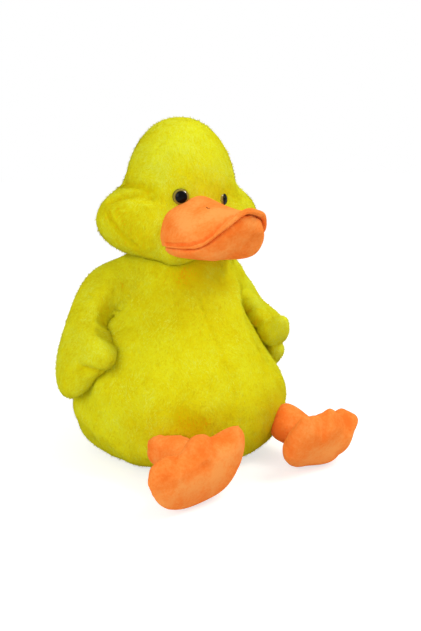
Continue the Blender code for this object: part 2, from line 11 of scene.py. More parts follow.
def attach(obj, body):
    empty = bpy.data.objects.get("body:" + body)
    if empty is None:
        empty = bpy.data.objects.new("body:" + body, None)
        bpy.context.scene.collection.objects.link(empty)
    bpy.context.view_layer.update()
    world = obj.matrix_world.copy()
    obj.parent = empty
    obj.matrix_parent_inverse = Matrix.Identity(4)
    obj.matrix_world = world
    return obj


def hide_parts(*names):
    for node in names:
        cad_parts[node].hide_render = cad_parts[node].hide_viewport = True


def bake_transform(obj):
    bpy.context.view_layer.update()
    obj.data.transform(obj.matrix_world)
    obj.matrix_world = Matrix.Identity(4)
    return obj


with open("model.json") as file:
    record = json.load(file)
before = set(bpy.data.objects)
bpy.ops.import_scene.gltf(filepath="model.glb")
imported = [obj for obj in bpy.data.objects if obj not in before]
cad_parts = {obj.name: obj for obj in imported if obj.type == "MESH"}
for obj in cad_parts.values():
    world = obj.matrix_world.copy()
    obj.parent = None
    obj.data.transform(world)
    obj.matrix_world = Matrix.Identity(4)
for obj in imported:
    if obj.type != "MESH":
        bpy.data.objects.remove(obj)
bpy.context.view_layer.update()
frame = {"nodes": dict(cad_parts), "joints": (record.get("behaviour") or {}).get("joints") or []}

# Camera
# It looks at the duck from its front right and a little above, as the
# photograph does. A place on the duck can be named by a pixel of that picture.

PICTURE = (421, 631)
FOCAL_PIXELS = 748
AIM = Vector((0.0040, -0.0588, 0.1630))
BACK = Vector((-0.5163, -0.8263, 0.2250)).normalized()
eye_point = AIM + 0.80 * BACK
to_camera = BACK.to_track_quat("Z", "Y").to_matrix()

camera_data = bpy.data.cameras.new("camera")
camera_data.sensor_width = 36
camera_data.lens = 36 * FOCAL_PIXELS / PICTURE[1]
camera = bpy.data.objects.new("camera", camera_data)
camera.matrix_world = Matrix.Translation(eye_point) @ to_camera.to_4x4()
bpy.context.scene.collection.objects.link(camera)
bpy.context.scene.camera = camera
bpy.context.scene.view_settings.view_transform = "Standard"


def sight(pixel):
    """The direction from the camera through a pixel of the picture."""
    across = (pixel[0] - 0.5 * PICTURE[0]) / FOCAL_PIXELS
    down = (pixel[1] - 0.5 * PICTURE[1]) / FOCAL_PIXELS
    return (to_camera @ Vector((across, -down, -1))).normalized()


# Studio
# A white sweep of paper, two soft boxes and a small lamp. The paper shows
# white and keeps the shadow that the duck throws on it.


def linear(code):
    """An sRGB hex code as a linear colour with alpha."""
    parts = [int(code[i:i + 2], 16) / 255 for i in (1, 3, 5)]
    return tuple(
        c / 12.92 if c <= 0.04045 else ((c + 0.055) / 1.055) ** 2.4 for c in parts) + (1,)


def add_node(tree, kind, inputs=None, **settings):
    """A new node; an input that is given another node's socket is linked to it."""
    node = tree.nodes.new(kind)
    for name, value in settings.items():
        setattr(node, name, value)
    for name, value in (inputs or {}).items():
        if isinstance(value, bpy.types.NodeSocket):
            tree.links.new(value, node.inputs[name])
        else:
            node.inputs[name].default_value = value
    return node


paper = bpy.data.materials.new("white_studio_paper")
paper.use_nodes = True
tree = paper.node_tree
tree.nodes.clear()
path = add_node(tree, "ShaderNodeLightPath")
seen = path.outputs["Is Camera Ray"]
for ray in ("Is Glossy Ray", "Is Transmission Ray"):
    most = add_node(tree, "ShaderNodeMath", {0: seen, 1: path.outputs[ray]}, operation="MAXIMUM")
    seen = most.outputs[0]
# the paper lights the duck as plain white does; what is seen of it glows up to full white
white = add_node(tree, "ShaderNodeBsdfDiffuse", {"Color": linear("#e6e6e6")})
matt = add_node(tree, "ShaderNodeBsdfDiffuse", {"Color": linear("#c8c8c8")})
glow = add_node(tree, "ShaderNodeEmission", {"Color": (1, 1, 1, 1), "Strength": 0.66})
bright = add_node(tree, "ShaderNodeAddShader", {0: matt.outputs[0], 1: glow.outputs[0]})
mixed = add_node(tree, "ShaderNodeMixShader", {0: seen, 1: white.outputs[0], 2: bright.outputs[0]})
add_node(tree, "ShaderNodeOutputMaterial", {"Surface": mixed.outputs[0]})

floor_mesh = bpy.data.meshes.new("floor")
floor_mesh.from_pydata([(-6, -6, 0), (6, -6, 0), (6, 6, 0), (-6, 6, 0)], [], [(0, 1, 2, 3)])
floor_mesh.materials.append(paper)
floor = bpy.data.objects.new("floor", floor_mesh)
bpy.context.scene.collection.objects.link(floor)

world = bpy.data.worlds.new("studio")
bpy.context.scene.world = world
world.use_nodes = True
tree = world.node_tree
tree.nodes.clear()
path = add_node(tree, "ShaderNodeLightPath")
strength = add_node(tree, "ShaderNodeMapRange", {
    "Value": path.outputs["Is Camera Ray"], "To Min": 0.61, "To Max": 1.0})
sky = add_node(tree, "ShaderNodeBackground", {"Color": (1, 1, 1, 1), "Strength": strength.outputs[0]})
add_node(tree, "ShaderNodeOutputWorld", {"Surface": sky.outputs[0]})

for name, place, size, power in (
        ("soft_box_right", (0.80, -0.77, 1.44), 0.8, 13.5),
        ("soft_box_left", (-1.30, -0.65, 0.80), 0.9, 8.5),
        ("catch_light", (0.77, -0.58, 1.16), 0.25, 25)):
    lamp = bpy.data.lights.new(name, "AREA")
    lamp.shape = "SQUARE"
    lamp.size = size
    lamp.energy = power
    box = bpy.data.objects.new(name, lamp)
    box.location = place
    box.rotation_euler = (Vector(place) - Vector((0, 0, 0.18))).to_track_quat("Z", "Y").to_euler()
    bpy.context.scene.collection.objects.link(box)
    # the small lamp only makes the highlight on the eyes
    box.visible_diffuse = name != "catch_light"

# Torso
# A pear of knitted polyester plush stuffed tight with fibre. It is sewn from
# panels that meet down the middle of the chest and the back.


def joined(*meshes):
    """The meshes' faces in one mesh."""
    shape = bmesh.new()
    for mesh in meshes:
        shape.from_mesh(mesh)
    made = bpy.data.meshes.new("joined")
    shape.to_mesh(made)
    shape.free()
    return made


def solid(*nodes):
    """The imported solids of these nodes, skin and filling, in one mesh."""
    return joined(*[frame["nodes"][node].data for node in nodes])


def stuffed(name, mesh, voxel, smoothing, cap, pressure=4.0, sewn_to=None):
    """The mesh as one closed smooth cloth, swelled by its filling up to the cap, in metres."""
    piece = bpy.data.objects.new(name, mesh)
    bpy.context.scene.collection.objects.link(piece)
    weave(piece, voxel)
    relax = piece.modifiers.new("relax", "SMOOTH")
    relax.factor = 0.5
    relax.iterations = smoothing
    flatten(piece)
    swell(piece, cap, pressure, sewn_to)
    finer = piece.modifiers.new("finer", "SUBSURF")
    finer.levels = finer.render_levels = 1
    flatten(piece)
    piece.data.shade_smooth()
    return piece


def weave(piece, voxel):
    """Turns the piece into one even closed cloth with points this far apart."""
    remesh = piece.modifiers.new("weave", "REMESH")
    remesh.mode = "VOXEL"
    remesh.voxel_size = voxel
    flatten(piece)
    keep_outside(piece)


def flatten(piece):
    """Applies the piece's modifiers to its mesh."""
    graph = bpy.context.evaluated_depsgraph_get()
    mesh = bpy.data.meshes.new_from_object(piece.evaluated_get(graph))
    piece.modifiers.clear()
    piece.data = mesh


def keep_outside(piece):
    """Keeps only the largest connected surface."""
    shape = bmesh.new()
    shape.from_mesh(piece.data)
    left = set(shape.verts)
    parts = []
    while left:
        edge = {left.pop()}
        found = set(edge)
        while edge:
            edge = {link.other_vert(vert) for vert in edge for link in vert.link_edges} & left
            left -= edge
            found |= edge
        parts.append(found)
    parts.sort(key=len)
    bmesh.ops.delete(shape, geom=[vert for part in parts[:-1] for vert in part], context="VERTS")
    shape.to_mesh(piece.data)
    shape.free()


def coordinates(mesh):
    """The mesh's points as rows."""
    flat = np.empty(3 * len(mesh.vertices), np.float32)
    mesh.vertices.foreach_get("co", flat)
    return flat.reshape(-1, 3).astype(float)


def normals(mesh):
    """The way out of the mesh at each of its points."""
    flat = np.empty(3 * len(mesh.vertices), np.float32)
    mesh.vertex_normals.foreach_get("vector", flat)
    return flat.reshape(-1, 3).astype(float)


def move_to(mesh, places):
    """Puts the mesh's points at these places."""
    mesh.vertices.foreach_set("co", places.astype(np.float32).ravel())
    mesh.update()


def signed(tree, place):
    """The distance from a place to a closed surface, negative inside, and the way out."""
    hit, out, _, distance = tree.find_nearest(place)
    if (place - hit).dot(out) < 0:
        return -distance, (hit - place).normalized() if distance > 1e-6 else out
    return distance, (place - hit).normalized() if distance > 1e-6 else out


SWELL_FRAMES = 20
SEAM_HOLDS, SEAM_FADES = 0.003, 0.012


def swell(piece, cap, pressure, sewn_to):
    """Pressure from inside rounds the cloth; no point moves further than the cap.

    Cloth close to the piece it is sewn to is held by the seam and stays.
    """
    start = coordinates(piece.data)
    cloth = piece.modifiers.new("pressure", "CLOTH")
    cloth.settings.use_pressure = True
    cloth.settings.uniform_pressure_force = pressure
    cloth.settings.effector_weights.gravity = 0
    scene = bpy.context.scene
    for step in range(SWELL_FRAMES):
        scene.frame_set(step + 1)
    flatten(piece)
    scene.frame_set(1)
    moved = coordinates(piece.data) - start
    far = np.linalg.norm(moved, axis=1, keepdims=True)
    moved *= np.minimum(1, cap / np.maximum(far, 1e-9))
    if sewn_to:
        tree = BVHTree.FromObject(sewn_to, bpy.context.evaluated_depsgraph_get())
        apart = np.array([signed(tree, Vector(place))[0] for place in start])
        moved *= np.clip((apart - SEAM_HOLDS) / SEAM_FADES, 0, 1)[:, None]
    move_to(piece.data, start + moved)


def rest_on_floor(piece):
    """What would sink into the floor is pressed flat by it."""
    places = coordinates(piece.data)
    places[:, 2] = np.maximum(places[:, 2], 0)
    move_to(piece.data, places)


def on_surface(piece, pixels, steps=6):
    """A line on the piece through pixels of the picture, at even steps."""
    tree = BVHTree.FromObject(piece, bpy.context.evaluated_depsgraph_get())
    line = []
    for start, end in zip(pixels, pixels[1:]):
        for step in range(steps):
            share = step / steps
            hit = tree.ray_cast(eye_point, sight([a + (b - a) * share for a, b in zip(start, end)]))[0]
            if hit:
                line.append(hit)
    hit = tree.ray_cast(eye_point, sight(pixels[-1]))[0]
    if hit:
        line.append(hit)
    return line


def distance_to(line, places):
    """Each place's distance to a line of points."""
    best = np.full(len(places), np.inf)
    points = np.array([tuple(point) for point in line])
    for start, end in zip(points, points[1:]):
        run = end - start
        share = np.clip(((places - start) @ run) / max(run @ run, 1e-12), 0, 1)
        best = np.minimum(best, np.linalg.norm(places - start - share[:, None] * run, axis=1))
    return best


# painted shade in a fold: how much deeper its colour is made, for each metre of its depth
FOLD_PAINTED_SHADE = 45


def sew(piece, line, profile):
    """Raises or sinks the cloth beside a line and paints shade where it sinks; the profile is (distance,
    rise) pairs.
    """
    places = coordinates(piece.data)
    away = distance_to(line, places)
    distances, rises = zip(*profile)
    rise = np.interp(away, distances, rises)
    move_to(piece.data, places + normals(piece.data) * rise[:, None])
    painted_shading, values = painted_shading_of(piece.data)
    painted_shading.data.foreach_set("value", (values + FOLD_PAINTED_SHADE * np.minimum(rise, 0)).astype(np.float32))


def spots(piece, pixels, radius):
    """How near each point of the piece is to the places under these pixels, from 0 to 1."""
    tree = BVHTree.FromObject(piece, bpy.context.evaluated_depsgraph_get())
    places = coordinates(piece.data)
    near = np.zeros(len(places))
    for pixel in pixels:
        hit = tree.ray_cast(eye_point, sight(pixel))[0]
        if hit:
            away = np.linalg.norm(places - np.array(hit), axis=1) / radius
            near = np.maximum(near, np.clip(1 - away ** 2, 0, 1) ** 2)
    return near


def press(piece, pixels, radius, rise, way=None):
    """Pads the piece out, or with a negative rise dents it, under these pixels.

    With a way, across and up in the picture, it is pulled that way instead.
    """
    near = spots(piece, pixels, radius)
    out = normals(piece.data)
    if way is not None:
        out = np.array(to_camera @ Vector((*way, 0)).normalized())
    move_to(piece.data, coordinates(piece.data) + out * (rise * near)[:, None])


def painted_shading_of(mesh):
    """The painted light at each point, or when negative the painted shade."""
    painted_shading = mesh.attributes.get("painted_shading") or mesh.attributes.new("painted_shading", "FLOAT", "POINT")
    values = np.empty(len(mesh.vertices), np.float32)
    painted_shading.data.foreach_get("value", values)
    return painted_shading, values


def paint_shading(piece, pixels, radius, change):
    """Paints light under these pixels, paler, or painted shade, deeper, when the change is negative."""
    painted_shading, values = painted_shading_of(piece.data)
    values = values + change * spots(piece, pixels, radius)
    painted_shading.data.foreach_set("value", values.astype(np.float32))


# how cloth rises, in metres, at each distance from a fold or a seam
SOFT_FOLD = ((0, -0.0034), (0.002, -0.0026), (0.0055, -0.0003), (0.009, 0.0008), (0.016, 0.0))
FINE_SEAM = ((0, -0.0011), (0.0015, -0.0007), (0.0035, 0.0001), (0.008, 0.0))
SEAM = ((0, -0.0027), (0.0015, -0.0019), (0.0035, 0.0002), (0.008, 0.0))


def plush_material(name, pale, middle, deep, tuft):
    """Knitted plush: a brushed pile, so it looks soft, patchy and quite without gloss; an attribute adds
    painted light and shade.
    """
    made = bpy.data.materials.new(name)
    made.use_nodes = True
    tree = made.node_tree
    shader = tree.nodes["Principled BSDF"]
    place = add_node(tree, "ShaderNodeTexCoord").outputs["Object"]
    # brushed patches are 20 to 30 mm wide and tufts 3 mm
    patches = add_node(tree, "ShaderNodeTexNoise", {"Vector": place, "Scale": 40, "Detail": 3})
    tufts = add_node(tree, "ShaderNodeTexNoise", {
        "Vector": place, "Scale": 330, "Detail": 4, "Roughness": 0.7})
    both = add_node(tree, "ShaderNodeMix", {
        "Factor": 0.45, "A": patches.outputs[0], "B": tufts.outputs[0]}, data_type="FLOAT")
    # painted light and shade, read from the mesh, move the colour paler or deeper
    painted_shading = add_node(tree, "ShaderNodeAttribute", attribute_name="painted_shading")
    painted_shading_mix = add_node(tree, "ShaderNodeMath", {0: both.outputs[0], 1: painted_shading.outputs["Fac"]}, operation="ADD")
    ramp = add_node(tree, "ShaderNodeValToRGB", {"Fac": painted_shading_mix.outputs[0]})
    ramp.color_ramp.elements[0].position = 0.36
    ramp.color_ramp.elements[0].color = linear(deep)
    ramp.color_ramp.elements[1].position = 0.64
    ramp.color_ramp.elements[1].color = linear(pale)
    ramp.color_ramp.elements.new(0.5).color = linear(middle)
    tree.links.new(ramp.outputs[0], shader.inputs["Base Color"])
    bump = add_node(tree, "ShaderNodeBump", {
        "Height": tufts.outputs[0], "Distance": tuft, "Strength": 0.8})
    tree.links.new(bump.outputs[0], shader.inputs["Normal"])
    shader.inputs["Roughness"].default_value = 1.0
    shader.inputs["Specular IOR Level"].default_value = 0.0
    shader.inputs["Sheen Weight"].default_value = 0.12
    shader.inputs["Sheen Roughness"].default_value = 0.5
    shader.inputs["Sheen Tint"].default_value = linear(pale)
    return made


def fibre_material(name, code):
    """Tips of single fibres: one flat shade each, as a fibre is too thin to show more."""
    made = bpy.data.materials.new(name)
    made.use_nodes = True
    shader = made.node_tree.nodes["Principled BSDF"]
    shader.inputs["Base Color"].default_value = linear(code)
    shader.inputs["Roughness"].default_value = 1.0
    shader.inputs["Specular IOR Level"].default_value = 0.0
    return made


# a lemon yellow in patchy tones; painted light makes it paler and painted shade deeper and golden
yellow = plush_material(
    "yellow_knitted_plush", pale="#dfde22", middle="#dbd313", deep="#d5c60b", tuft=0.0012)
yellow_tips = [fibre_material("yellow_fibre_" + shade, code) for shade, code in (
    ("pale", "#dfe246"), ("bright", "#dddd2e"), ("middle", "#dad31c"), ("deep", "#d4c50f"),
    ("golden_painted_shade", "#dfbc0c"), ("warm_painted_shade", "#e2ac0a"))]


def waves(places, length, seed):
    """A smooth pattern between -1 and 1 with patches of about this length."""
    rng = np.random.default_rng(seed)
    total = np.zeros(len(places))
    for _ in range(6):
        way = rng.normal(size=3)
        way /= np.linalg.norm(way)
        turn = math.tau / (length * rng.uniform(1.4, 2.6))
        bend = rng.uniform(0, math.tau)
        total += np.sin(places @ way * turn + bend + 1.3 * np.sin(places @ rng.permutation(way) * turn))
    return total / 3.2


FIBRE_LENGTH, FIBRE_WIDTH = 0.0034, 0.0009
# how far laid and stray fibres lean, in degrees from upright, and how many the comb missed
LAID_LEAN, STRAY_LEAN, STRAY_SHARE = 84, 50, 0.07


def pile(name, piece, count, seed, length=FIBRE_LENGTH):
    """Loose yellow fibre ends over a piece, combed down, in patches, with the piece's painted light and
    shade.
    """
    mesh = piece.data
    mesh.calc_loop_triangles()
    corners = np.empty(3 * len(mesh.loop_triangles), np.int32)
    mesh.loop_triangles.foreach_get("vertices", corners)
    corners = corners.reshape(-1, 3)
    places, outward = coordinates(mesh), normals(mesh)
    a, b, c = (places[corners[:, i]] for i in range(3))
    areas = np.linalg.norm(np.cross(b - a, c - a), axis=1)
    rng = np.random.default_rng(seed)
    chosen = rng.choice(len(areas), count, p=areas / areas.sum())
    u, v = rng.random(count), rng.random(count)
    over = u + v > 1
    u[over], v[over] = 1 - u[over], 1 - v[over]
    shares = np.stack([1 - u - v, u, v], 1)
    root = np.einsum("ij,ijk->ik", shares, places[corners[chosen]])
    up = np.einsum("ij,ijk->ik", shares, outward[corners[chosen]])
    up /= np.linalg.norm(up, axis=1, keepdims=True)
    comb = np.stack([
        0.6 * waves(root, 0.030, seed + 1), 0.6 * waves(root, 0.030, seed + 2),
        -0.9 + 0.5 * waves(root, 0.040, seed + 3)], 1) + 0.25 * rng.normal(size=(count, 3))
    comb -= up * np.einsum("ij,ij->i", comb, up)[:, None]
    comb /= np.maximum(np.linalg.norm(comb, axis=1, keepdims=True), 1e-6)
    stray = rng.random(count) < STRAY_SHARE
    lean = np.where(stray, STRAY_LEAN, LAID_LEAN) + 3 * waves(root, 0.012, seed + 4)
    lean = lean + rng.normal(0, 2, count)
    lean = np.radians(lean)[:, None]
    reach = length * (1 + 0.15 * waves(root, 0.015, seed + 5) + rng.normal(0, 0.12, count))[:, None]
    along = up * np.cos(lean) + comb * np.sin(lean)
    beside = np.cross(along, up)
    beside /= np.maximum(np.linalg.norm(beside, axis=1, keepdims=True), 1e-6)
    half = 0.5 * FIBRE_WIDTH
    foot = root - 0.0001 * up
    points = np.stack([foot - half * beside, foot + half * beside, foot + reach * along], 1)
    facing = np.cross(points[:, 1] - points[:, 0], points[:, 2] - points[:, 0])
    wrong = np.einsum("ij,ij->i", facing, up) < 0
    points[wrong] = points[wrong][:, [1, 0, 2]]
    soft = up + 0.2 * along + 0.10 * rng.normal(size=(count, 3))
    soft /= np.linalg.norm(soft, axis=1, keepdims=True)
    painted_shading_mix = np.einsum("ij,ij->i", shares, painted_shading_of(mesh)[1][corners[chosen]])
    # tufts lie in strands that run down
    strand = waves(root * (1, 1, 0.22), 0.0035, seed + 7)
    shade = 2.0 + 0.6 * waves(root, 0.022, seed + 6) + 0.7 * strand + rng.normal(0, 0.6, count)
    # painted light makes a fibre's tip paler; painted shade makes it deeper, then golden and warm
    shade = np.clip(shade, 0, 3.9) - 10 * painted_shading_mix
    # each fibre has a back too, which the cloth under it lights
    back = -np.cross(points[:, 1] - points[:, 0], points[:, 2] - points[:, 0])
    back /= np.maximum(np.linalg.norm(back, axis=1, keepdims=True), 1e-12)
    points = np.concatenate([points, points[:, [1, 0, 2]] - 0.00003 * up[:, None]])
    points[..., 2] = np.maximum(points[..., 2], 0)
    soft = np.concatenate([soft, back])
    shade = np.concatenate([shade, shade])
    count = len(points)
    made = bpy.data.meshes.new(name)
    made.vertices.add(3 * count)
    made.vertices.foreach_set("co", points.astype(np.float32).ravel())
    made.loops.add(3 * count)
    made.loops.foreach_set("vertex_index", np.arange(3 * count, dtype=np.int32))
    made.polygons.add(count)
    made.polygons.foreach_set("loop_start", np.arange(0, 3 * count, 3, dtype=np.int32))
    made.polygons.foreach_set("material_index", np.clip(shade, 0, len(yellow_tips) - 1).astype(np.int32))
    made.update()
    for tip in yellow_tips:
        made.materials.append(tip)
    made.normals_split_custom_set(np.repeat(soft, 3, axis=0))
    fur = bpy.data.objects.new(name, made)
    # light passes between the fibres, so they throw no shadow on each other
    fur.visible_shadow = False
    bpy.context.scene.collection.objects.link(fur)
    return fur


torso = stuffed(
    "torso_plush", solid("torso_skin", "torso_filling"), voxel=0.004, smoothing=14, cap=0.003)
# dented beside the far wing, fuller beside the near one and drawn in above the floor
press(torso, ((246, 290), (251, 305), (258, 318), (266, 332)), 0.040, -0.010)
press(torso, ((255, 318), (262, 332), (268, 345)), 0.040, -0.006)
press(torso, ((249, 305), (257, 321), (266, 337), (271, 345)), 0.060, 0.010, (-1, 0))
press(torso, ((113, 330), (119, 345), (116, 362), (104, 382)), 0.028, 0.007)
press(torso, ((78, 408),), 0.025, 0.004)
press(torso, ((95, 446), (108, 454)), 0.030, -0.005)
# the seam down the chest with painted shade in it; painted shade over the chest and under the chin, and
# painted shade with a painted orange reflection under the bill and between the feet
sew(torso, on_surface(torso, ((201, 300), (208, 320), (230, 373), (237, 400))), FINE_SEAM)
paint_shading(torso, ((175, 300), (190, 312), (205, 322)), 0.045, -0.06)
paint_shading(torso, ((142, 264), (156, 268), (170, 271), (184, 274), (200, 272)), 0.014, -0.12)
paint_shading(torso, ((190, 272), (184, 276)), 0.017, -0.20)
paint_shading(torso, ((183, 418), (196, 424)), 0.022, -0.22)
rest_on_floor(torso)
torso.data.materials.append(yellow)
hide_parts("torso_skin", "torso_filling")
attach(torso, "torso")

# Neck wad
# A pad of loose polyester fibre between the torso's neck and the head. It lets
# the head nod, and nothing of it shows.

# a dull white, seen only when a seam opens
fibre = fibre_material("white_polyester_fibre", "#e9e9e4")
wad = stuffed(
    "neck_wad", solid("neck_filling"), voxel=0.004, smoothing=2, cap=0.001, pressure=1.0)
wad.data.materials.append(fibre)
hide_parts("neck_filling")
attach(wad, "neck")

# Head
# The same plush as the torso: a tall crown over two fat cheeks. Folds run in
# from the notches between crown and cheeks where the panels are gathered.

head = stuffed(
    "head_plush", solid("head_skin", "head_filling"), voxel=0.004, smoothing=9, cap=0.002)
press(head, ((150, 252), (168, 255)), 0.028, 0.005)
press(head, ((184, 258), (199, 260)), 0.028, 0.006, (0, -1))
# painted shade on the near cheek, which faces away from the key light, and painted light on the crown
paint_shading(head, ((112, 212), (122, 228), (136, 238)), 0.026, -0.13)
paint_shading(head, ((175, 140), (190, 130), (160, 160), (200, 150), (215, 168)), 0.045, 0.08)
# the folds and the cheek seam, each with painted shade in it
for pixels, profile in (
        (((121, 183), (132, 184.5), (142, 186.5), (152, 190)), SOFT_FOLD),
        (((113, 200), (122, 196.5), (132, 194.5), (142, 194.5), (152, 198)), SOFT_FOLD),
        (((108, 213), (111, 221), (119, 231), (127, 239), (136, 246)), SEAM)):
    sew(head, on_surface(head, pixels), profile)
head.data.materials.append(yellow)
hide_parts("head_skin", "head_filling")
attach(head, "head")
head_pile = pile("head_pile", head, count=95000, seed=23)
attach(head_pile, "head")

# Eyes
# Safety eyes: a black pupil moulded behind a clear brown dome, on a shank that
# a washer locks inside the head.

# deep gloss: a black middle, a clear brown ring and one small sharp highlight
eye_plastic = bpy.data.materials.new("black_and_brown_acrylic")
eye_plastic.use_nodes = True
tree = eye_plastic.node_tree
shader = tree.nodes["Principled BSDF"]
radial = add_node(tree, "ShaderNodeAttribute", attribute_name="radius")
ramp = add_node(tree, "ShaderNodeValToRGB", {"Fac": radial.outputs["Fac"]})
ramp.color_ramp.elements[0].position = 0.0
ramp.color_ramp.elements[0].color = linear("#0c0a09")
ramp.color_ramp.elements[1].position = 1.0
ramp.color_ramp.elements[1].color = linear("#3b2a12")
for stop, code in ((0.70, "#0c0a09"), (0.75, "#7a6a2a"), (0.9, "#9a8a3c")):
    ramp.color_ramp.elements.new(stop).color = linear(code)
tree.links.new(ramp.outputs[0], shader.inputs["Base Color"])
shader.inputs["Roughness"].default_value = 0.08
shader.inputs["IOR"].default_value = 1.38
shader.inputs["Specular IOR Level"].default_value = 0.15

DOME_HEIGHT, FLANGE_FRONT, FLANGE_BACK, SHANK_RADIUS = 0.0060, 0.0075, 0.0078, 0.0021
EYE_STEPS = 48

for side in ("right", "left"):
    points = coordinates(frame["nodes"]["eye_" + side].data)
    middle = Vector(points.mean(0))
    axis = Vector(np.linalg.svd(points - points.mean(0))[2][0])
    if axis.y > 0:
        axis.negate()
    # as photographed, the far eye is set lower and deeper and looks outward
    if side == "left":
        axis = (Matrix.Rotation(math.radians(13), 3, "Z") @ axis).normalized()
        middle += to_camera @ Vector((-0.0034, -0.0020, 0)) - 0.0022 * axis
    else:
        middle += to_camera @ Vector((-0.0016, 0, 0))
    spread = (points - points.mean(0)) @ np.array(axis)
    front, back = spread.max(), spread.min()
    flat = points - np.outer(spread, axis)
    reach = np.linalg.norm(flat - points.mean(0), axis=1).max()
    shape = bmesh.new()
    profile = [(0.0, front)]
    for step in range(1, 13):
        swing = 0.5 * math.pi * step / 12
        profile.append((reach * math.sin(swing), front - DOME_HEIGHT * (1 - math.cos(swing))))
    profile += [(reach, front - FLANGE_FRONT), (SHANK_RADIUS, front - FLANGE_BACK), (SHANK_RADIUS, back)]
    layer = shape.verts.layers.float.new("radius")
    turn = axis.to_track_quat("Z", "Y")
    rings = []
    for radius, height in profile:
        ring = []
        for step in range(EYE_STEPS if radius else 1):
            angle = math.tau * step / EYE_STEPS
            place = Vector((radius * math.cos(angle), radius * math.sin(angle), height))
            spot = shape.verts.new(middle + turn @ place)
            spot[layer] = radius / reach
            ring.append(spot)
        rings.append(ring)
    for low, high in zip(rings, rings[1:]):
        for step in range(EYE_STEPS):
            after = (step + 1) % EYE_STEPS
            if len(low) == 1:
                shape.faces.new((low[0], high[step], high[after]))
            else:
                shape.faces.new((low[step], high[step], high[after], low[after]))
    shape.faces.new(rings[-1])
    bmesh.ops.recalc_face_normals(shape, faces=shape.faces)
    mesh = bpy.data.meshes.new("glass_eye_" + side)
    shape.to_mesh(mesh)
    shape.free()
    mesh.shade_smooth()
    mesh.materials.append(eye_plastic)
    eye = bpy.data.objects.new("glass_eye_" + side, mesh)
    bpy.context.scene.collection.objects.link(eye)
    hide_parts("eye_" + side)
    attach(eye, "head")

# dull white with a faint gloss, hidden inside the head
washer_plastic = fibre_material("white_nylon_washer", "#dcdcd6")
washer_plastic.node_tree.nodes["Principled BSDF"].inputs["Roughness"].default_value = 0.4
for side in ("right", "left"):
    washer = frame["nodes"]["eye_washer_" + side]
    washer.data.materials.clear()
    washer.data.materials.append(washer_plastic)

# Bill
# Velboa, a smooth short pile, over fibre. The upper half is a broad saddle
# whose rim rolls over the fat lower half and rises in an arch at the front.

# guide curves from the near corner of the mouth over to the far one, in millimetres:
# where the bill is sewn to the head, two across its faces, and along its rim
UPPER_ROOT = (
    (-50, -50, 240.5), (-52, -51, 253), (-44, -48, 273), (-26, -50, 284), (-8, -55, 291.5),
    (13, -53, 283), (36, -49, 271), (47, -49, 256), (50, -50, 241))
UPPER_BACK = (
    (-50, -54, 241), (-55, -65, 252), (-50, -73, 267), (-29, -79, 280.5), (-5, -83, 284.5),
    (16, -80, 277), (38, -72, 267), (50, -66, 254.5), (50.5, -55, 242))
UPPER_FRONT = (
    (-50, -54, 242), (-56, -76, 249), (-51, -94, 260), (-29, -104, 273), (-2, -107, 279.5),
    (18, -103, 275), (38, -91, 266.5), (50, -79, 254), (51, -55, 242.5))
RIM = (
    (-50, -54, 242.5), (-53, -86, 244), (-43.5, -116, 247.5), (-25, -127.5, 263.5), (-2, -130, 278.5),
    (17, -126, 276.5), (35.5, -109.5, 269.5), (47, -92, 253.5), (51, -56, 243))
LOWER_RIM = (
    (-49, -54, 241), (-51, -84, 243), (-42, -113, 246.5), (-24, -125, 262), (-2, -128, 276),
    (16, -124, 274), (34, -107, 267), (45, -90, 252), (49, -54, 241.5))
LOWER_FRONT = (
    (-49, -54, 240), (-51, -82, 238), (-46, -108, 240), (-28, -122, 248), (0, -125, 257),
    (22, -120, 255), (40, -104, 250), (48, -87, 241), (49, -54, 241))
LOWER_BACK = (
    (-49, -54, 239.5), (-46, -72, 233), (-40, -92, 232.5), (-24, -106, 232), (0, -107, 232),
    (20, -104, 230.5), (37, -90, 230), (45, -75, 232), (49, -54, 240))
LOWER_ROOT = (
    (-49, -48, 239.5), (-42, -48, 234), (-25, -50, 228), (-13, -52, 225), (0, -52, 224),
    (13, -52, 224), (25, -50, 225), (42, -48, 231), (49, -48, 239.5))
INSIDE = np.array((0, -70, 250.0))


def curve(points, steps):
    """Points on a smooth curve through the given ones."""
    given = np.array(points, float)
    ends = np.concatenate([[2 * given[0] - given[1]], given, [2 * given[-1] - given[-2]]])
    line = []
    for a, b, c, d in zip(ends, ends[1:], ends[2:], ends[3:]):
        for step in range(steps):
            t = step / steps
            line.append(0.5 * (
                2 * b + (c - a) * t + (2 * a - 5 * b + 4 * c - d) * t ** 2
                + (3 * b - a - 3 * c + d) * t ** 3))
    return np.array(line + [given[-1]])


def panel(*guides):
    """A closed thick panel through guide curves, in metres."""
    lines = [curve(guide, 10) for guide in guides]
    outer = np.array([curve(stops, 8) for stops in zip(*lines)])
    inner = INSIDE + 0.82 * (outer - INSIDE)
    wide, deep = outer.shape[:2]
    points = 0.001 * np.concatenate([outer.reshape(-1, 3), inner.reshape(-1, 3)])
    at = np.arange(2 * wide * deep).reshape(2, wide, deep)
    faces = []
    for layer in (0, 1):
        for i in range(wide - 1):
            for j in range(deep - 1):
                quad = (
                    at[layer, i, j], at[layer, i + 1, j], at[layer, i + 1, j + 1], at[layer, i, j + 1])
                faces.append(quad if layer else quad[::-1])
    for i in range(wide - 1):
        faces.append((at[0, i, 0], at[0, i + 1, 0], at[1, i + 1, 0], at[1, i, 0]))
        faces.append((at[0, i + 1, -1], at[0, i, -1], at[1, i, -1], at[1, i + 1, -1]))
    for j in range(deep - 1):
        faces.append((at[0, 0, j + 1], at[0, 0, j], at[1, 0, j], at[1, 0, j + 1]))
        faces.append((at[0, -1, j], at[0, -1, j + 1], at[1, -1, j + 1], at[1, -1, j]))
    made = bpy.data.meshes.new("panel")
    made.from_pydata(points.tolist(), [], [tuple(map(int, face)) for face in faces])
    return made


